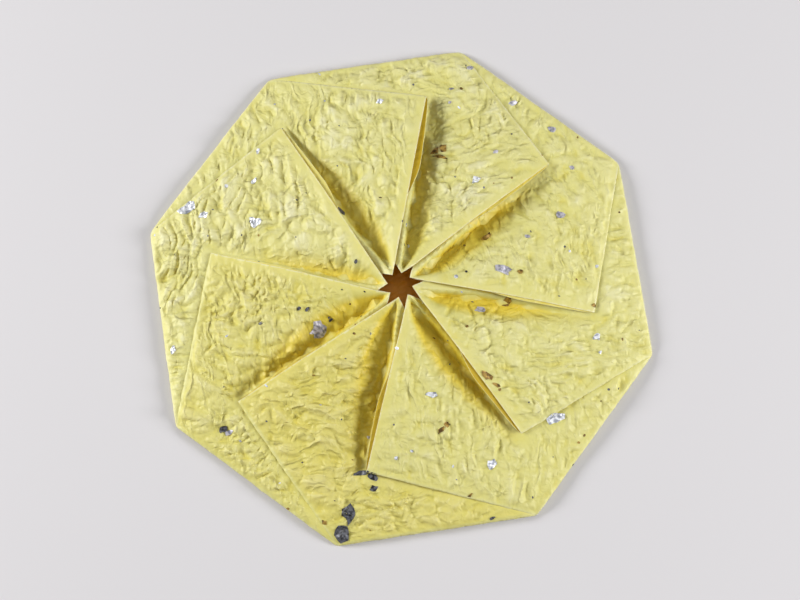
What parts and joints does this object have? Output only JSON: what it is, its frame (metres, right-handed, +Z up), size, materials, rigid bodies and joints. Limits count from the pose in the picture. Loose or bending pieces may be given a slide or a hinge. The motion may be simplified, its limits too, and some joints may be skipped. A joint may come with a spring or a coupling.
{
  "type": "origami tato",
  "caption": "Flat octagonal case folded from one sheet of crumpled paper: pleats lie like a pinwheel and lock its top round a small star-shaped hole.",
  "frame": {"origin": "middle of the flat underside", "axes": "+Z up out of the star-shaped hole, +X and +Y square to flats of the octagon"},
  "size_m": [0.1158, 0.1158, 0.0113],
  "materials": {
    "crumpled_paper": "matte crumpled paper with foil, copper and black flecks"
  },
  "bodies": {
    "root": {"folded_sheet": "crumpled_paper"}
  },
  "joints": []
}
